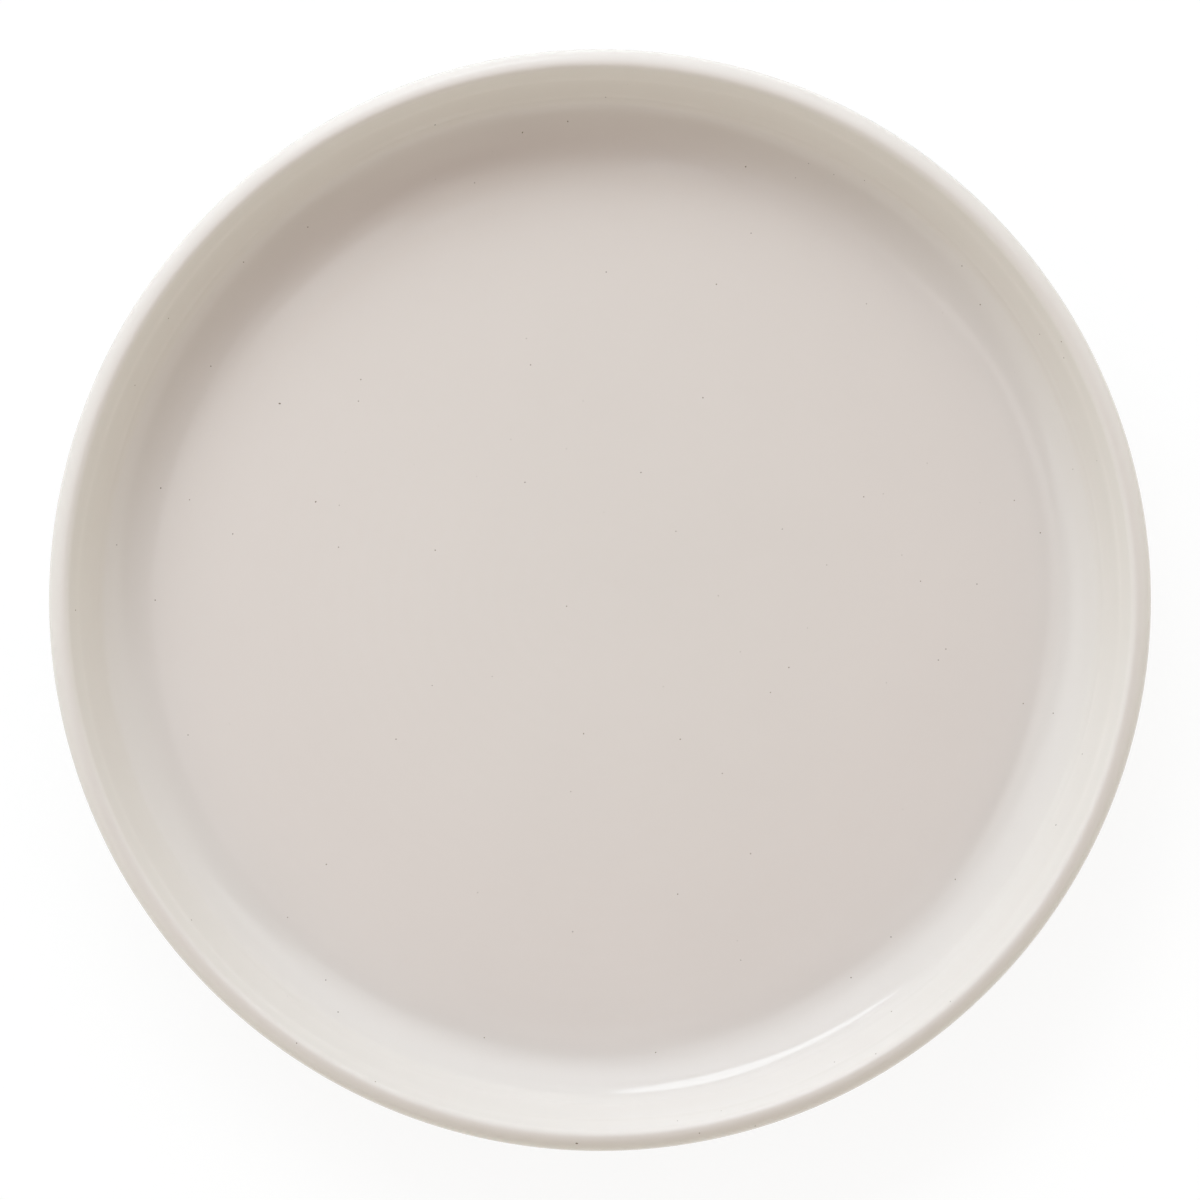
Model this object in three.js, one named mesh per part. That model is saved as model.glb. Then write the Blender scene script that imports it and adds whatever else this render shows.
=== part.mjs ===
// Dessert plate of glazed stoneware: a flat well, a steep flared wall, a rounded lip and a turned foot ring.
// Millimetres, +Z up. The origin is on the plate's axis, in the plane that the foot ring stands on.
import * as THREE from 'three';

// The whole plate, measured over the glaze
const rimDiameter = 200;
const wellDepth = 13.5;

// Inside of the wall: a wide cove rises from the well floor, and a tighter bend turns it into the straight
// wall. Angles are in degrees above the table, and the two radii are those of the glazed surface.
const coveRadius = 17;
const coveAngle = 30;
const bendRadius = 4.6;
const wallAngle = 63;

// The lip of the clay, tight on the inside and fuller on the outside
const lipInnerRadius = 0.8;
const lipOuterRadius = 2.25;

// Underside of the clay: the shoulder climbs from the foot ring to the heel, which turns up into the wall
const heelRadius = 7.5;
const shoulderAngle = 6;
const floorThickness = 3.5;

// The foot ring, turned from the same clay. Its sides lean by the draft, and it stands on a flat face.
const footHeight = 2.5;
const footDiameter = 148;
const footFaceWidth = 3.6;
const footEdgeRadius = 0.8;
const footDraft = 10;
const footFilletRadius = 0.5;

// The glaze ends above the table in a rolled edge, so the foot ring is bare below it. A hairline keeps the
// glaze and the clay two bodies.
const glazeThickness = 0.5;
const glazeEdgeLength = 0.4;
const bareHeight = 1;
const bondGap = 0.02;

// Fineness of the facets
const turnSegments = 60;
const edgeSteps = 3;
const chordTolerance = 0.04;

// Colours in soft daylight
const glazeColour = '#d5cdc7';
const glazeRoughness = 0.15;
const clayColour = '#b59a7c';
const clayRoughness = 0.85;

const radians = THREE.MathUtils.degToRad;

// A walk along the section of the clay, in straight runs and round bends. Each stop keeps its place, the way
// out of the clay there and how thick the glaze lies on it. A positive turn bends to the left.
class SectionWalk {
  constructor(radius, height, glaze) {
    this.radius = radius;
    this.height = height;
    this.heading = 0;
    this.glaze = glaze;
    this.stops = [];
    this.stop();
  }

  stop() {
    this.stops.push({
      place: new THREE.Vector2(this.radius, this.height),
      outward: new THREE.Vector2(-Math.sin(this.heading), Math.cos(this.heading)),
      glaze: this.glaze,
    });
  }

  move(length, heading) {
    this.radius += length * Math.cos(heading);
    this.height += length * Math.sin(heading);
  }

  straight(length, glaze = this.glaze) {
    this.move(length, this.heading);
    this.glaze = glaze;
    this.stop();
  }

  bend(radius, turn) {
    const angle = radians(turn);
    const widestStep = 2 * Math.acos(Math.max(0, 1 - chordTolerance / radius));
    const count = Math.max(2, Math.ceil(Math.abs(angle) / widestStep));
    const step = angle / count;
    const chord = 2 * radius * Math.sin(Math.abs(step) / 2);
    for (let i = 0; i < count; i++) {
      this.move(chord, this.heading + step / 2);
      this.heading += step;
      this.stop();
    }
  }

  // The glaze thins out, or builds up, along a quarter of an ellipse
  glazeEdge(startAngle, endAngle) {
    for (let i = 0; i < edgeSteps; i++) {
      const before = radians(THREE.MathUtils.lerp(startAngle, endAngle, i / edgeSteps));
      const after = radians(THREE.MathUtils.lerp(startAngle, endAngle, (i + 1) / edgeSteps));
      const length = glazeEdgeLength * Math.abs(Math.sin(after) - Math.sin(before));
      this.straight(length, glazeThickness * Math.cos(after));
    }
  }
}

// Length from a sharp corner to where its rounding begins
function tangentLength(radius, turn) {
  return radius * Math.tan(radians(Math.abs(turn)) / 2);
}

// Well, wall and lip, from the axis out to the top of the outer wall
function walkInside() {
  const clayCove = coveRadius + glazeThickness;
  const clayBend = bendRadius + glazeThickness;
  const sinCove = Math.sin(radians(coveAngle));
  const cosCove = Math.cos(radians(coveAngle));
  const sinWall = Math.sin(radians(wallAngle));
  const cosWall = Math.cos(radians(wallAngle));
  const bendsRise = clayCove * (1 - cosCove) + clayBend * (cosCove - cosWall) + lipInnerRadius * (1 - cosWall);
  const bendsRun = clayCove * sinCove + clayBend * (sinWall - sinCove) + lipInnerRadius * sinWall;
  const wallLength = (wellDepth - bendsRise) / sinWall;
  const lipTopRadius = rimDiameter / 2 - glazeThickness - lipOuterRadius;
  const floorRadius = lipTopRadius - bendsRun - wallLength * cosWall;

  const walk = new SectionWalk(0, footHeight + floorThickness, glazeThickness);
  walk.straight(floorRadius);
  walk.bend(clayCove, coveAngle);
  walk.bend(clayBend, wallAngle - coveAngle);
  walk.straight(wallLength);
  walk.bend(lipInnerRadius, -wallAngle);
  walk.bend(lipOuterRadius, -90);
  walk.bend(lipOuterRadius, wallAngle - 90);
  return walk;
}

// Sizes of the foot ring's section: its leaning side runs from the bottom rounding to a sharp corner with the
// underside, which a fillet then rounds. The glaze edge stands on that side.
const footTurn = 90 - footDraft;
const footFillet = footFilletRadius + glazeThickness;
const sideBottom = footEdgeRadius * (1 - Math.sin(radians(footDraft)));
const sideLength = (footHeight - sideBottom) / Math.cos(radians(footDraft));
const bareLength = (bareHeight - sideBottom) / Math.cos(radians(footDraft));

// Outer wall, heel and shoulder, from the lip down to the glaze line on the foot ring
function walkOutside(walk) {
  const footEdgeReach = footEdgeRadius * Math.cos(radians(footDraft)) + sideLength * Math.sin(radians(footDraft));
  const footCorner = new THREE.Vector2(footDiameter / 2 + footFaceWidth / 2 + footEdgeReach, footHeight);
  const wallWay = new THREE.Vector2(Math.cos(walk.heading), Math.sin(walk.heading));
  const shoulderWay = new THREE.Vector2(Math.cos(radians(shoulderAngle)), Math.sin(radians(shoulderAngle)));
  const span = new THREE.Vector2(walk.radius, walk.height).sub(footCorner);
  const wallToHeel = shoulderWay.cross(span) / wallWay.cross(shoulderWay);
  const footToHeel = wallWay.cross(span) / wallWay.cross(shoulderWay);
  const heelTurn = shoulderAngle - wallAngle;
  const heelTangent = tangentLength(heelRadius, heelTurn);
  const filletTurn = footTurn - shoulderAngle;
  const filletTangent = tangentLength(footFillet, filletTurn);

  walk.straight(wallToHeel - heelTangent);
  walk.bend(heelRadius, heelTurn);
  walk.straight(footToHeel - heelTangent - filletTangent);
  walk.bend(footFillet, filletTurn);
  walk.straight(sideLength - filletTangent - glazeEdgeLength - bareLength);
  walk.glazeEdge(0, 90);
}

// The bare bottom of the foot ring, from one glaze line to the other
function walkFoot(walk) {
  walk.straight(bareLength);
  walk.bend(footEdgeRadius, -footTurn);
  walk.straight(footFaceWidth);
  walk.bend(footEdgeRadius, -footTurn);
  walk.straight(bareLength);
}

// The recess inside the foot ring, from its glaze line to the axis
function walkRecess(walk) {
  const filletTangent = tangentLength(footFillet, footTurn);
  walk.glazeEdge(90, 0);
  walk.straight(sideLength - filletTangent - glazeEdgeLength - bareLength);
  walk.bend(footFillet, footTurn);
  walk.straight(walk.radius);
}

function offsetPoint(stop, distance) {
  const point = stop.place.clone().addScaledVector(stop.outward, distance);
  point.x = Math.max(0, point.x);
  return point;
}

// Outline of a glaze layer, out along the clay and back along its glossy face. The stops start at the axis.
function glazeOutline(stops) {
  const clayFace = stops.map((stop) => offsetPoint(stop, bondGap));
  const glossyFace = stops.map((stop) => offsetPoint(stop, Math.max(bondGap, stop.glaze)));
  return [...clayFace, ...glossyFace.reverse().slice(1)];
}

function turnedPiece(name, outline, colour, roughness) {
  const points = THREE.ShapeUtils.isClockWise(outline) ? [...outline].reverse() : outline;
  const geometry = new THREE.LatheGeometry(points, turnSegments);
  geometry.rotateX(Math.PI / 2);
  const material = new THREE.MeshStandardMaterial({ color: colour, roughness, metalness: 0 });
  const piece = new THREE.Mesh(geometry, material);
  piece.name = name;
  return piece;
}

const walk = walkInside();
walkOutside(walk);
const coatStops = [...walk.stops];
walkFoot(walk);
const footStopCount = walk.stops.length - 1;
walkRecess(walk);
const baseStops = walk.stops.slice(footStopCount).reverse();
const clayOutline = walk.stops.map((stop) => offsetPoint(stop, 0));

const plate = new THREE.Group();
plate.add(turnedPiece('clay_body', clayOutline, clayColour, clayRoughness));
plate.add(turnedPiece('glaze_coat', glazeOutline(coatStops), glazeColour, glazeRoughness));
plate.add(turnedPiece('base_glaze', glazeOutline(baseStops), glazeColour, glazeRoughness));

export default plate;
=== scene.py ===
import math

import bmesh
import bpy
from mathutils import Matrix, Vector, noise
from mathutils.bvhtree import BVHTree


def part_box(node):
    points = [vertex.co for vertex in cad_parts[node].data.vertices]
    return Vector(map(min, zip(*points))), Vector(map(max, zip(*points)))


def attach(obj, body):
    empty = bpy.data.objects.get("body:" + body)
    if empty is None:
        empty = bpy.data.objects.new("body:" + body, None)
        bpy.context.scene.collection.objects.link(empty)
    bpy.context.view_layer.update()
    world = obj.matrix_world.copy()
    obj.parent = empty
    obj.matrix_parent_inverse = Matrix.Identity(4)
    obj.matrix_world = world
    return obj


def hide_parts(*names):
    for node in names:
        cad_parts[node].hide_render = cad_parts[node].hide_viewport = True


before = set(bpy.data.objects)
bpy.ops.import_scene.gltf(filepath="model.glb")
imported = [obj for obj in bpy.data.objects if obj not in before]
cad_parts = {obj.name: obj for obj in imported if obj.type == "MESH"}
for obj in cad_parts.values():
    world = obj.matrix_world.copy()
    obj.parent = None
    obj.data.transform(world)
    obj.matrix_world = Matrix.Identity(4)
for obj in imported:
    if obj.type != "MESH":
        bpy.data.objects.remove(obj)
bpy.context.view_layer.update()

mm = 0.001
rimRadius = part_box("glaze_coat")[1].x
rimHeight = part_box("glaze_coat")[1].z
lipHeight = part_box("clay_body")[1].z
glazeThickness = rimHeight - lipHeight
print("frame: rim %.1f mm across, %.1f mm high" % (2 * rimRadius / mm, rimHeight / mm))

# the plate's section, as the solids have it
section = {
    "wellDepth": 13.5 * mm,
    "coveRadius": 17 * mm,         # cove and bend are measured over the glaze
    "coveAngle": 30,
    "bendRadius": 4.6 * mm,
    "wallAngle": 63,
    "lipInner": 0.8 * mm,          # lip, heel and foot are measured on the clay
    "lipOuter": 2.25 * mm,
    "heelRadius": 7.5 * mm,
    "shoulderAngle": 6,
    "footHeight": 2.5 * mm,
    "footDiameter": 148 * mm,
    "footFace": 3.6 * mm,
    "footEdge": 0.8 * mm,
    "footDraft": 10,
    "footFillet": 0.5 * mm,
    "bareHeight": 1 * mm,
    "hairline": 0.02 * mm,         # between the glaze and the clay
    "turnSteps": 256,
    "hiddenStep": 1 * mm,          # facets where the glaze lies on the clay
    "turnWeld": 0.001 * mm,        # vertices nearer than this are one
    "layerWeld": 0.002 * mm,
    "sharpAngle": 40,
}


def sinOf(angle):
    return math.sin(math.radians(angle))


def cosOf(angle):
    return math.cos(math.radians(angle))


def tangentLength(radius, turn):
    return radius * math.tan(math.radians(abs(turn)) / 2)


# draws a wire in the XZ plane from the axis outwards, lift away from the clay: straight runs are extruded
# and bends are spun, to the left where the turn is positive
class SectionPen:
    def __init__(self, bm, height, lift, step):
        self.bm = bm
        self.lift = lift
        self.step = step
        self.heading = 0
        self.tip = bm.verts.new((0, 0, height + lift))

    def straight(self, length, coarser=1):
        steps = math.ceil(length / (self.step * coarser))
        way = Vector((cosOf(self.heading), 0, sinOf(self.heading)))
        for step in range(steps):
            self.tip = bmesh.ops.extrude_vert_indiv(self.bm, verts=[self.tip])["verts"][0]
            bmesh.ops.translate(self.bm, verts=[self.tip], vec=way * length / steps)

    def bend(self, radius, turn, coarser=1):
        side = math.copysign(1, turn)
        steps = max(3, math.ceil(abs(radius * math.radians(turn)) / (self.step * coarser)))
        left = Vector((-sinOf(self.heading), 0, cosOf(self.heading)))
        centre = self.tip.co + left * side * (radius - self.lift * side)
        spun = bmesh.ops.spin(self.bm, geom=[self.tip], cent=centre, axis=(0, -1, 0),
                              angle=math.radians(turn), steps=steps)
        self.tip = [part for part in spun["geom_last"] if isinstance(part, bmesh.types.BMVert)][0]
        self.heading += turn

    def reach(self):
        return self.tip.co.x


# lengths that follow from the section
wall = section["wallAngle"]
cove = section["coveAngle"]
clayCove = section["coveRadius"] + glazeThickness
clayBend = section["bendRadius"] + glazeThickness
clayFillet = section["footFillet"] + glazeThickness
floorHeight = lipHeight - section["wellDepth"]
bendsRise = (clayCove * (1 - cosOf(cove)) + clayBend * (cosOf(cove) - cosOf(wall))
             + section["lipInner"] * (1 - cosOf(wall)))
bendsRun = (clayCove * sinOf(cove) + clayBend * (sinOf(wall) - sinOf(cove))
            + section["lipInner"] * sinOf(wall))
wallLength = (section["wellDepth"] - bendsRise) / sinOf(wall)
lipRadius = rimRadius - glazeThickness - section["lipOuter"]
floorRadius = lipRadius - bendsRun - wallLength * cosOf(wall)
footTurn = 90 - section["footDraft"]
sideBottom = section["footEdge"] * (1 - sinOf(section["footDraft"]))
sideLength = (section["footHeight"] - sideBottom) / cosOf(section["footDraft"])
bareLength = (section["bareHeight"] - sideBottom) / cosOf(section["footDraft"])
footReach = section["footEdge"] * cosOf(section["footDraft"]) + sideLength * sinOf(section["footDraft"])
footOutside = section["footDiameter"] / 2 + section["footFace"] / 2 + footReach
footInside = section["footDiameter"] / 2 - section["footFace"] / 2 - footReach
rollRadius = glazeThickness - section["hairline"]


def drawInside(pen):
    pen.straight(floorRadius, coarser=4)
    pen.bend(clayCove, cove)
    pen.bend(clayBend, wall - cove)
    pen.straight(wallLength)
    pen.bend(section["lipInner"], -wall, coarser=0.6)
    pen.bend(section["lipOuter"], -90, coarser=0.6)
    pen.bend(section["lipOuter"], wall - 90, coarser=0.6)


# from the lip to the glaze line on the foot ring, less what the glaze edge needs
def drawOutside(pen, edgeRoom):
    shoulder = section["shoulderAngle"]
    across = lipRadius + section["lipOuter"] * sinOf(wall) - footOutside
    above = lipHeight - section["lipOuter"] * (1 + cosOf(wall)) - section["footHeight"]
    spread = sinOf(wall - shoulder)
    wallToHeel = (above * cosOf(shoulder) - across * sinOf(shoulder)) / spread
    footToHeel = (across * sinOf(wall) - above * cosOf(wall)) / spread
    heelTangent = tangentLength(section["heelRadius"], wall - shoulder)
    filletTangent = tangentLength(clayFillet, footTurn - shoulder)
    pen.straight(wallToHeel - heelTangent, coarser=1.6)
    pen.bend(section["heelRadius"], shoulder - wall, coarser=2)
    pen.straight(footToHeel - heelTangent - filletTangent, coarser=2.4)
    pen.bend(clayFillet, footTurn - shoulder, coarser=0.8)
    pen.straight(sideLength - filletTangent - bareLength - edgeRoom)


def drawBareFoot(pen):
    pen.straight(bareLength, coarser=0.3)
    pen.bend(section["footEdge"], -footTurn, coarser=0.2)
    pen.straight(section["footFace"], coarser=0.2)
    pen.bend(section["footEdge"], -footTurn, coarser=0.2)
    pen.straight(bareLength, coarser=0.3)


def turnOnAxis(bm):
    bmesh.ops.spin(bm, geom=bm.verts[:] + bm.edges[:], cent=(0, 0, 0), axis=(0, 0, 1),
                   angle=math.tau, steps=section["turnSteps"], use_merge=True)
    bmesh.ops.remove_doubles(bm, verts=bm.verts, dist=section["turnWeld"])
    bmesh.ops.recalc_face_normals(bm, faces=bm.faces)
    bm.normal_update()


# a sheet's faces may come out either way up: the one on the axis says which
def faceSheet(bm, upwards):
    axisVert = min(bm.verts, key=lambda vert: vert.co.xy.length)
    if (axisVert.normal.z > 0) != upwards:
        bmesh.ops.reverse_faces(bm, faces=bm.faces)
        bm.normal_update()


# moves each vertex along its normal by what height says there
def carve(bm, height):
    shifts = [(vert, vert.normal * height(vert.co)) for vert in bm.verts]
    for vert, shift in shifts:
        vert.co += shift


# the rough side of a glaze is a second sheet, joined to the glossy one at the glaze line and at the axis
def closeLayer(glossy, rough):
    roughMesh = bpy.data.meshes.new("roughSide")
    rough.to_mesh(roughMesh)
    rough.free()
    glossy.from_mesh(roughMesh)
    bpy.data.meshes.remove(roughMesh)
    bmesh.ops.remove_doubles(glossy, verts=glossy.verts, dist=section["layerWeld"])
    bmesh.ops.recalc_face_normals(glossy, faces=glossy.faces)


def addPiece(name, bm, material, node=None):
    mesh = bpy.data.meshes.new(name)
    for face in bm.faces:
        face.smooth = True
    bm.to_mesh(mesh)
    triangles = sum(len(face.verts) - 2 for face in bm.faces)
    bm.free()
    mesh.set_sharp_from_angle(angle=math.radians(section["sharpAngle"]))
    mesh.materials.append(material)
    piece = bpy.data.objects.new(name, mesh)
    bpy.context.collection.objects.link(piece)
    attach(piece, "root")
    if node:
        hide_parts(node)
    print("piece: %s, %d triangles" % (name, triangles))
    return piece


# 0 below low, 1 above high, with soft ends
def fade(value, low, high):
    share = min(1, max(0, (value - low) / (high - low)))
    return share * share * (3 - 2 * share)


# a ring that a finger left: a slow rise to the middle and a quicker fall behind it
def ridge(value, middle, rise, fall):
    return math.exp(-((value - middle) / (rise if value < middle else fall)) ** 2)


# a slow wander round the plate, from -1 to 1; each layer wanders its own way
def drift(place, lobes, layer):
    across = place.xy.normalized() * lobes if place.xy.length > 0 else Vector((0, 0))
    return noise.noise(Vector((across.x, across.y, layer)))


# marks that the thrower's hands left under the glaze
throwing = {
    "spiralPitch": 3.4 * mm,
    "spiralHeight": 0.012 * mm,
    "spiralStart": 12 * mm,        # it fades in from the middle
    "spiralEnd": (-6 * mm, 2 * mm),          # and out here, measured from the floor's edge
    "spiralWobble": 1.5,
    "wobbleScale": 40,
    "coveWave": 0.18 * mm,
    "coveLobes": 3.2,
    "coveStart": (-8 * mm, 2 * mm),          # measured from the floor's edge
    "coveEnd": (91 * mm, 95 * mm),           # measured from the axis
    "waveLength": 6 * mm,
    "wallRings": [(90.2, 0.04), (91.7, 0.12), (94.5, 0.08)],  # radius and height, in mm
    "ringRise": 0.9 * mm,
    "ringFall": 0.3 * mm,
    "ringWander": 0.4 * mm,
    "ringLobes": 4,
    "strengthLobes": 6,
    "outerPitch": 2.1 * mm,
    "outerHeight": 0.025 * mm,
    "outerLobes": 2,
    "edgeFade": 1 * mm,            # the glaze edge itself stays smooth
    "glossyStep": 0.25 * mm,
}


def wellRelief(place):
    radius = place.xy.length
    angle = math.atan2(place.y, place.x)
    fromEdge = radius - floorRadius
    onFloor = fade(radius, 0, throwing["spiralStart"]) * (1 - fade(fromEdge, *throwing["spiralEnd"]))
    wobble = noise.noise(place * throwing["wobbleScale"]) * throwing["spiralWobble"]
    spiral = math.sin(math.tau * radius / throwing["spiralPitch"] + angle + wobble)
    height = throwing["spiralHeight"] * onFloor * spiral
    onCove = fade(fromEdge, *throwing["coveStart"]) * (1 - fade(radius, *throwing["coveEnd"]))
    wave = drift(place, throwing["coveLobes"], radius / throwing["waveLength"])
    height += throwing["coveWave"] * onCove * wave
    for middle, ringHeight in throwing["wallRings"]:
        wander = throwing["ringWander"] * drift(place, throwing["ringLobes"], middle)
        strength = 1 + drift(place, throwing["strengthLobes"], middle + 7)
        ring = ridge(radius, middle * mm + wander, throwing["ringRise"], throwing["ringFall"])
        height += ringHeight * mm * strength * ring
    return height


def outsideRelief(place):
    wander = drift(place, throwing["outerLobes"], 3)
    ring = noise.noise(Vector((place.z / throwing["outerPitch"], wander, 0)))
    return throwing["outerHeight"] * ring


def coatRelief(place):
    inWell = place.z > floorHeight and place.xy.length < lipRadius
    return wellRelief(place) if inWell else outsideRelief(place)


# trimming rings in the recess of the foot
trimming = {
    "pitch": 3.1 * mm,
    "height": 0.02 * mm,
    "start": 8 * mm,
    "end": (-4 * mm, -2 * mm),     # measured from the foot ring's inside
    "wander": 0.6,
    "lobes": 1.5,
    "wanderLength": 20 * mm,
    "step": 0.5 * mm,
}


def recessRelief(place):
    radius = place.xy.length
    inRecess = fade(radius, 0, trimming["start"]) * (1 - fade(radius - footInside, *trimming["end"]))
    wander = trimming["wander"] * drift(place, trimming["lobes"], radius / trimming["wanderLength"])
    return trimming["height"] * inRecess * math.sin(math.tau * (radius / trimming["pitch"] + wander))


# fine grooves of the turning tool where the foot stays bare; nothing goes below the table
turning = {
    "pitch": 0.7 * mm,
    "depth": 0.015 * mm,
    "wander": 2,
    "lobes": 2,
}


def footRelief(place):
    isBare = place.z < section["bareHeight"]
    wander = turning["wander"] * drift(place, turning["lobes"], 5)
    groove = 0.5 + 0.5 * math.sin(math.tau * place.xy.length / turning["pitch"] + wander)
    return -turning["depth"] * groove if isBare else 0


# nodes
def addNode(tree, kind, values=None, **settings):
    made = tree.nodes.new("ShaderNode" + kind)
    for name, value in settings.items():
        setattr(made, name, value)
    for name, value in (values or {}).items():
        made.inputs[name].default_value = value
    return made


def feed(tree, output, target):
    tree.links.new(output, target)


def makeMaterial(name):
    material = bpy.data.materials.new(name)
    material.use_nodes = True
    tree = material.node_tree
    shader = tree.nodes["Principled BSDF"]
    place = addNode(tree, "TexCoord").outputs["Object"]
    return material, tree, shader, place


# dark iron spots: seen where a scattered ball of the given size meets the surface
def makeIronSpots():
    tree = bpy.data.node_groups.new("ironSpots", "ShaderNodeTree")
    tree.interface.new_socket("Place", in_out="INPUT", socket_type="NodeSocketVector")
    for name in ("Cells per metre", "Size", "Share"):
        tree.interface.new_socket(name, in_out="INPUT", socket_type="NodeSocketFloat")
    tree.interface.new_socket("Mask", in_out="OUTPUT", socket_type="NodeSocketFloat")
    entry = tree.nodes.new("NodeGroupInput")
    leave = tree.nodes.new("NodeGroupOutput")
    cells = addNode(tree, "TexVoronoi", voronoi_dimensions="3D", feature="F1")
    feed(tree, entry.outputs["Place"], cells.inputs["Vector"])
    feed(tree, entry.outputs["Cells per metre"], cells.inputs["Scale"])
    radius = addNode(tree, "Math", operation="MULTIPLY")
    feed(tree, entry.outputs["Size"], radius.inputs[0])
    feed(tree, entry.outputs["Cells per metre"], radius.inputs[1])
    inner = addNode(tree, "Math", {1: 0.4}, operation="MULTIPLY")
    feed(tree, radius.outputs[0], inner.inputs[0])
    spot = addNode(tree, "MapRange", {"To Min": 1, "To Max": 0}, interpolation_type="SMOOTHSTEP")
    feed(tree, cells.outputs["Distance"], spot.inputs["Value"])
    feed(tree, inner.outputs[0], spot.inputs["From Min"])
    feed(tree, radius.outputs[0], spot.inputs["From Max"])
    draw = addNode(tree, "SeparateColor")
    feed(tree, cells.outputs["Color"], draw.inputs["Color"])
    kept = addNode(tree, "Math", operation="LESS_THAN")
    feed(tree, draw.outputs["Red"], kept.inputs[0])
    feed(tree, entry.outputs["Share"], kept.inputs[1])
    mask = addNode(tree, "Math", operation="MULTIPLY")
    feed(tree, spot.outputs["Result"], mask.inputs[0])
    feed(tree, kept.outputs[0], mask.inputs[1])
    feed(tree, mask.outputs[0], leave.inputs["Mask"])
    return tree


ironSpots = makeIronSpots()


def addIronSpots(tree, place, cellsPerMetre, size, share):
    spots = addNode(tree, "Group", node_tree=ironSpots)
    feed(tree, place, spots.inputs["Place"])
    spots.inputs["Cells per metre"].default_value = cellsPerMetre
    spots.inputs["Size"].default_value = size
    spots.inputs["Share"].default_value = share
    return spots.outputs["Mask"]


def blendColours(tree, factor, first, second, how="MIX"):
    mixed = addNode(tree, "Mix", data_type="RGBA", blend_type=how)
    feed(tree, factor, mixed.inputs["Factor"])
    for name, colour in (("A", first), ("B", second)):
        socket = [s for s in mixed.inputs if s.name == name and s.type == "RGBA"][0]
        if isinstance(colour, tuple):
            socket.default_value = (*colour, 1)
        else:
            feed(tree, colour, socket)
    return [s for s in mixed.outputs if s.type == "RGBA"][0]


glazeLook = {
    "pale": (0.672, 0.614, 0.58),
    "deep": (0.65, 0.594, 0.56),
    "spot": (0.2, 0.15, 0.11),
    "spotCells": 290,              # per metre
    "spotSize": 0.17 * mm,
    "spotShare": 0.5,
    "mottleScale": 28,
    "smoothest": 0.045,
    "roughest": 0.085,
    "peelScale": 420,
    "peelDepth": 0.004 * mm,
}


def makeGlaze():
    material, tree, shader, place = makeMaterial("offWhiteGlaze")
    mottle = addNode(tree, "TexNoise", {"Scale": glazeLook["mottleScale"], "Detail": 4, "Roughness": 0.6})
    feed(tree, place, mottle.inputs["Vector"])
    body = blendColours(tree, mottle.outputs["Fac"], glazeLook["deep"], glazeLook["pale"])
    spots = addIronSpots(tree, place, glazeLook["spotCells"], glazeLook["spotSize"], glazeLook["spotShare"])
    feed(tree, blendColours(tree, spots, body, glazeLook["spot"]), shader.inputs["Base Color"])
    gloss = addNode(tree, "MapRange", {"From Min": 0.3, "From Max": 0.7,
                                       "To Min": glazeLook["smoothest"], "To Max": glazeLook["roughest"]})
    feed(tree, mottle.outputs["Fac"], gloss.inputs["Value"])
    feed(tree, gloss.outputs["Result"], shader.inputs["Roughness"])
    peel = addNode(tree, "TexNoise", {"Scale": glazeLook["peelScale"], "Detail": 1})
    feed(tree, place, peel.inputs["Vector"])
    relief = addNode(tree, "Bump", {"Distance": glazeLook["peelDepth"], "Strength": 1})
    feed(tree, peel.outputs["Fac"], relief.inputs["Height"])
    feed(tree, relief.outputs["Normal"], shader.inputs["Normal"])
    return material


clayLook = {
    "pale": (0.5, 0.355, 0.225),
    "deep": (0.42, 0.29, 0.178),
    "spot": (0.12, 0.075, 0.045),
    "spotCells": 900,
    "spotSize": 0.2 * mm,
    "spotShare": 0.35,
    "cloudScale": 90,
    "smoothest": 0.78,
    "roughest": 0.95,
    "grainScale": 1500,
    "grainDepth": 0.06 * mm,
}


def makeClay():
    material, tree, shader, place = makeMaterial("buffStoneware")
    cloud = addNode(tree, "TexNoise", {"Scale": clayLook["cloudScale"], "Detail": 6, "Roughness": 0.7})
    feed(tree, place, cloud.inputs["Vector"])
    body = blendColours(tree, cloud.outputs["Fac"], clayLook["deep"], clayLook["pale"])
    spots = addIronSpots(tree, place, clayLook["spotCells"], clayLook["spotSize"], clayLook["spotShare"])
    feed(tree, blendColours(tree, spots, body, clayLook["spot"]), shader.inputs["Base Color"])
    rough = addNode(tree, "MapRange", {"To Min": clayLook["smoothest"], "To Max": clayLook["roughest"]})
    feed(tree, cloud.outputs["Fac"], rough.inputs["Value"])
    feed(tree, rough.outputs["Result"], shader.inputs["Roughness"])
    grain = addNode(tree, "TexNoise", {"Scale": clayLook["grainScale"], "Detail": 5, "Roughness": 0.65})
    feed(tree, place, grain.inputs["Vector"])
    relief = addNode(tree, "Bump", {"Distance": clayLook["grainDepth"], "Strength": 0.6})
    feed(tree, grain.outputs["Fac"], relief.inputs["Height"])
    feed(tree, relief.outputs["Normal"], shader.inputs["Normal"])
    return material


speckLook = {
    "dark": (0.1, 0.075, 0.055),
    "rusty": (0.26, 0.2, 0.15),
    "toneScale": 2500,
    "roughness": 0.2,
}


def makeSpeckIron():
    material, tree, shader, place = makeMaterial("ironSpeck")
    tone = addNode(tree, "TexNoise", {"Scale": speckLook["toneScale"], "Detail": 3})
    feed(tree, place, tone.inputs["Vector"])
    colour = blendColours(tree, tone.outputs["Fac"], speckLook["dark"], speckLook["rusty"])
    feed(tree, colour, shader.inputs["Base Color"])
    shader.inputs["Roughness"].default_value = speckLook["roughness"]
    return material


glaze = makeGlaze()
clay = makeClay()
speckIron = makeSpeckIron()
print("materials: glaze, clay and iron specks")


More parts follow.
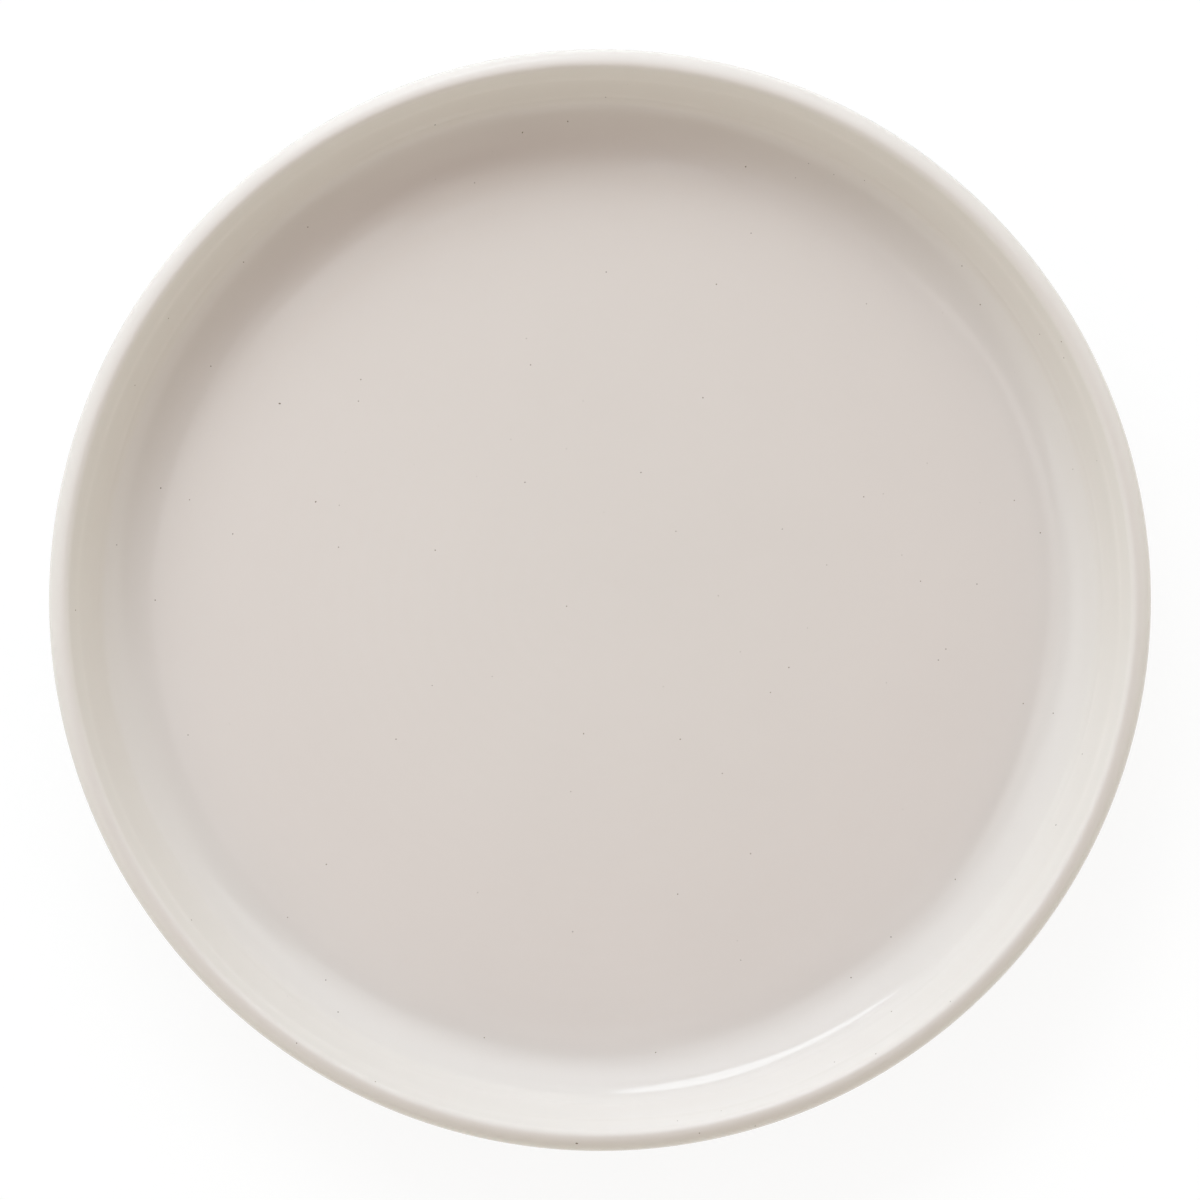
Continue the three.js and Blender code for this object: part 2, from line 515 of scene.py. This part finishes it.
# glaze over the well, the lip and the outside
def makeCoat():
    bm = bmesh.new()
    pen = SectionPen(bm, floorHeight, glazeThickness, throwing["glossyStep"])
    drawInside(pen)
    drawOutside(pen, rollRadius)
    pen.bend(-section["hairline"], -90)      # the glaze edge rolls in to the clay
    turnOnAxis(bm)
    faceSheet(bm, upwards=True)
    edgeLow = min(vert.co.z for vert in bm.verts)
    edgeHigh = edgeLow + throwing["edgeFade"]
    carve(bm, lambda place: coatRelief(place) * fade(place.z, edgeLow, edgeHigh))
    ground = BVHTree.FromBMesh(bm)
    rough = bmesh.new()
    roughPen = SectionPen(rough, floorHeight, section["hairline"], section["hiddenStep"])
    drawInside(roughPen)
    drawOutside(roughPen, 0)
    turnOnAxis(rough)
    closeLayer(bm, rough)
    addPiece("well_and_wall_glaze", bm, glaze, "glaze_coat")
    return ground


# glaze inside the foot ring, which hangs under the clay
def makeRecessGlaze():
    filletTangent = tangentLength(clayFillet, footTurn)
    sideRun = sideLength - filletTangent - bareLength
    sheets = []
    for lift, step, edgeRoom in ((glazeThickness, trimming["step"], rollRadius),
                                 (section["hairline"], section["hiddenStep"], 0)):
        bm = bmesh.new()
        pen = SectionPen(bm, section["footHeight"], -lift, step)
        pen.straight(footInside - filletTangent, coarser=2)
        pen.bend(clayFillet, -footTurn, coarser=0.6)
        pen.straight(sideRun - edgeRoom)
        if edgeRoom:
            pen.bend(-section["hairline"], 90)
        turnOnAxis(bm)
        sheets.append(bm)
    glossy, rough = sheets
    faceSheet(glossy, upwards=False)
    carve(glossy, recessRelief)
    closeLayer(glossy, rough)
    addPiece("recess_glaze", glossy, glaze, "base_glaze")


def makeBody():
    bm = bmesh.new()
    pen = SectionPen(bm, floorHeight, 0, section["hiddenStep"])
    drawInside(pen)
    drawOutside(pen, 0)
    drawBareFoot(pen)
    filletTangent = tangentLength(clayFillet, footTurn)
    pen.straight(sideLength - filletTangent - bareLength)
    pen.bend(clayFillet, footTurn, coarser=0.6)
    pen.straight(pen.reach(), coarser=4)
    turnOnAxis(bm)
    carve(bm, footRelief)
    addPiece("stoneware_body", bm, clay, "clay_body")


# the larger specks of iron: place across the plate and width, in mm
specks = [
    (-4.2, -98.4, 0.5), (-14.2, 85.6, 0.34), (-5.9, 87.6, 0.3), (-30.1, 86.7, 0.3), (26.7, 79.4, 0.28),
    (-65.2, 61.8, 0.3), (-58.7, 36.0, 0.42), (-52.1, 18.0, 0.34), (-67.3, 12.1, 0.26), (-80.5, 20.5, 0.3),
    (33.4, 13.0, 0.24), (-3.0, -24.5, 0.3), (62.0, -11.0, 0.26), (-21.2, -80.2, 0.26), (-5.0, -60.8, 0.24),
    (25.8, -66.0, 0.24), (10.2, -82.9, 0.28), (65.1, -51.2, 0.26), (83.1, -41.0, 0.3), (46.0, -69.2, 0.26),
]
speckShape = {
    "dome": 0.12,                  # height of a speck as a share of its width
    "narrowest": 0.6,              # breadth as a share of its width, in five steps
    "narrowStep": 0.08,
    "narrowCount": 5,
}


def makeSpecks(ground):
    bm = bmesh.new()
    for number, (x, y, width) in enumerate(specks):
        spot, normal, face, distance = ground.ray_cast(Vector((x * mm, y * mm, 1)), Vector((0, 0, -1)))
        turn = normal.to_track_quat("Z", "Y") @ Matrix.Rotation(number, 3, "Z").to_quaternion()
        half = width * mm / 2
        breadth = speckShape["narrowest"] + speckShape["narrowStep"] * (number % speckShape["narrowCount"])
        size = Vector((half, half * breadth, half * speckShape["dome"] * 2))
        settle = Matrix.LocRotScale(spot, turn, size)
        bmesh.ops.create_icosphere(bm, subdivisions=2, radius=1, matrix=settle)
    addPiece("iron_specks", bm, speckIron)


coatSurface = makeCoat()
makeRecessGlaze()
makeBody()
makeSpecks(coatSurface)

# camera straight above the plate; the rim fills this share of the picture's width
shot = {
    "above": 1.1,
    "rimShare": 1102 / 1200,
    "sensor": 36,
}
camera = bpy.data.cameras.new("overhead")
camera.sensor_width = shot["sensor"]
camera.lens = shot["sensor"] * shot["above"] * shot["rimShare"] / (2 * rimRadius)
cameraObject = bpy.data.objects.new("overhead", camera)
cameraObject.location = (0, 0, rimHeight - section["lipOuter"] - glazeThickness + shot["above"])
bpy.context.collection.objects.link(cameraObject)
bpy.context.scene.camera = cameraObject
print("camera: %.1f m above the rim" % shot["above"])


# 1 for rays from the camera, and for those that gloss or glass send on
def seenDirectly(tree):
    path = addNode(tree, "LightPath")
    seen = path.outputs["Is Camera Ray"]
    for name in ("Is Glossy Ray", "Is Transmission Ray"):
        either = addNode(tree, "Math", operation="MAXIMUM")
        feed(tree, seen, either.inputs[0])
        feed(tree, path.outputs[name], either.inputs[1])
        seen = either.outputs[0]
    return seen


# pale table: white to the camera and in reflections, apart from a soft shadow
table = {
    "size": 3,
    "colour": (0.85, 0.85, 0.85),
    "shadowShare": 0.12,           # how much of the white the lamps give
}


def makeTable():
    bm = bmesh.new()
    bmesh.ops.create_grid(bm, x_segments=1, y_segments=1, size=table["size"])
    mesh = bpy.data.meshes.new("table")
    bm.to_mesh(mesh)
    bm.free()
    material = bpy.data.materials.new("paleTable")
    material.use_nodes = True
    tree = material.node_tree
    tree.nodes.clear()
    output = addNode(tree, "OutputMaterial")
    plain = addNode(tree, "BsdfDiffuse", {"Color": (*table["colour"], 1)})
    share = table["shadowShare"]
    shaded = addNode(tree, "BsdfDiffuse", {"Color": (share, share, share, 1)})
    glow = addNode(tree, "Emission", {"Strength": 1 - share})
    white = addNode(tree, "AddShader")
    feed(tree, shaded.outputs[0], white.inputs[0])
    feed(tree, glow.outputs[0], white.inputs[1])
    choice = addNode(tree, "MixShader")
    feed(tree, seenDirectly(tree), choice.inputs["Fac"])
    feed(tree, plain.outputs[0], choice.inputs[1])
    feed(tree, white.outputs[0], choice.inputs[2])
    feed(tree, choice.outputs[0], output.inputs["Surface"])
    mesh.materials.append(material)
    floor = bpy.data.objects.new("table", mesh)
    bpy.context.collection.objects.link(floor)


# lamps: azimuth from +X and elevation in degrees, the rest in metres and watts
lamps = {
    "windowBox": {"azimuth": 106, "elevation": 32, "distance": 4, "width": 7, "height": 1.9,
                  "shape": "RECTANGLE", "power": 117, "mirrored": False},
    "windowCore": {"azimuth": 110, "elevation": 33, "distance": 3.9, "width": 3.5, "height": 1.25,
                   "shape": "RECTANGLE", "power": 66, "mirrored": False},
    "windowStrip": {"azimuth": 109, "elevation": 33, "distance": 3.8, "width": 2.1, "height": 0.9,
                    "shape": "ELLIPSE", "power": 16.5, "mirrored": True},
    "upperBank": {"azimuth": 118, "elevation": 67, "distance": 4, "width": 6.8, "height": 2.5,
                  "shape": "RECTANGLE", "power": 35.5, "mirrored": True},
}
daylight = (0.83, 0.935, 1)

# light of the room round the plate, none of it from behind the window lamps
room = {
    "lowWalls": (1.55, 1.93, 1.76),
    "lowWallsTop": 14,                       # degrees above the table
    "highWalls": (1.0, 0.8, 0.69),
    "highWallsFoot": 20,
    "highWallsTop": 45,
    "ceiling": (0.03, 0.03, 0.03),
    "ceilingFoot": 55,
    "windowAzimuth": 106,
    "windowReach": 65,                       # degrees to each side of it
    "windowFull": 30,
}

# what the camera and reflections see of the room: white round the table, and a pale patch overhead
outlook = {
    "walls": (1, 1, 1),
    "wallsTop": 45,
    "ceiling": (0.2, 0.2, 0.2),
    "ceilingFoot": 58,
    "ceilingTilt": 18,                       # degrees; the white reaches higher on the window's side
    "patch": (0.7, 0.7, 0.7),
    "patchAzimuth": 190,
    "patchElevation": 82,
    "patchCore": 4.5,                        # degrees from its middle
    "patchReach": 8.5,
}


def wayTo(azimuth, elevation):
    flat = cosOf(elevation)
    return Vector((flat * cosOf(azimuth), flat * sinOf(azimuth), sinOf(elevation)))


def makeLamps():
    for name, setting in lamps.items():
        lamp = bpy.data.lights.new(name, "AREA")
        lamp.shape = setting["shape"]
        lamp.size = setting["width"]
        lamp.size_y = setting["height"]
        lamp.energy = setting["power"]
        lamp.color = daylight
        way = wayTo(setting["azimuth"], setting["elevation"])
        lampObject = bpy.data.objects.new(name, lamp)
        lampObject.location = way * setting["distance"]
        lampObject.rotation_euler = (-way).to_track_quat("-Z", "Y").to_euler()
        lampObject.visible_glossy = setting["mirrored"]
        bpy.context.collection.objects.link(lampObject)


# a ramp over the height of the sky, from the table's edge to where top points
def addSky(tree, way, top, bands):
    rise = addNode(tree, "VectorMath", {1: top}, operation="DOT_PRODUCT")
    feed(tree, way, rise.inputs[0])
    ramp = addNode(tree, "ValToRGB")
    stops = ramp.color_ramp.elements
    while len(stops) < len(bands):
        stops.new(0.5)
    for stop, (elevation, colour) in zip(stops, bands):
        stop.position = sinOf(elevation)
        stop.color = (*colour, 1)
    feed(tree, rise.outputs["Value"], ramp.inputs["Fac"])
    return ramp.outputs["Color"]


# 1 towards a place in the sky, fading to 0 at reach degrees from it
def addSkyPatch(tree, way, azimuth, elevation, core, reach):
    towards = addNode(tree, "VectorMath", {1: wayTo(azimuth, elevation)}, operation="DOT_PRODUCT")
    feed(tree, way, towards.inputs[0])
    patch = addNode(tree, "MapRange", {"From Min": cosOf(reach), "From Max": cosOf(core)})
    feed(tree, towards.outputs["Value"], patch.inputs["Value"])
    return patch.outputs["Result"]


def makeWorld():
    world = bpy.data.worlds.new("studio")
    world.use_nodes = True
    tree = world.node_tree
    tree.nodes.clear()
    output = addNode(tree, "OutputWorld")
    way = addNode(tree, "TexCoord").outputs["Generated"]
    walls = addSky(tree, way, wayTo(0, 90), [
        (0, room["lowWalls"]), (room["lowWallsTop"], room["lowWalls"]),
        (room["highWallsFoot"], room["highWalls"]), (room["highWallsTop"], room["highWalls"]),
        (room["ceilingFoot"], room["ceiling"]), (90, room["ceiling"]),
    ])
    window = addSkyPatch(tree, way, room["windowAzimuth"], 0, room["windowFull"], room["windowReach"])
    light = addNode(tree, "Background")
    feed(tree, blendColours(tree, window, walls, (0, 0, 0)), light.inputs["Color"])
    tilted = wayTo(room["windowAzimuth"] + 180, 90 - outlook["ceilingTilt"])
    pale = addSky(tree, way, tilted, [
        (0, outlook["walls"]), (outlook["wallsTop"], outlook["walls"]),
        (outlook["ceilingFoot"], outlook["ceiling"]), (90, outlook["ceiling"]),
    ])
    patch = addSkyPatch(tree, way, outlook["patchAzimuth"], outlook["patchElevation"],
                        outlook["patchCore"], outlook["patchReach"])
    seen = addNode(tree, "Background")
    feed(tree, blendColours(tree, patch, pale, outlook["patch"], "ADD"), seen.inputs["Color"])
    choice = addNode(tree, "MixShader")
    feed(tree, seenDirectly(tree), choice.inputs["Fac"])
    feed(tree, light.outputs[0], choice.inputs[1])
    feed(tree, seen.outputs[0], choice.inputs[2])
    feed(tree, choice.outputs[0], output.inputs["Surface"])
    bpy.context.scene.world = world


makeTable()
makeLamps()
makeWorld()
bpy.context.scene.view_settings.view_transform = "Standard"
print("stage: table, %d lamps and the room" % len(lamps))
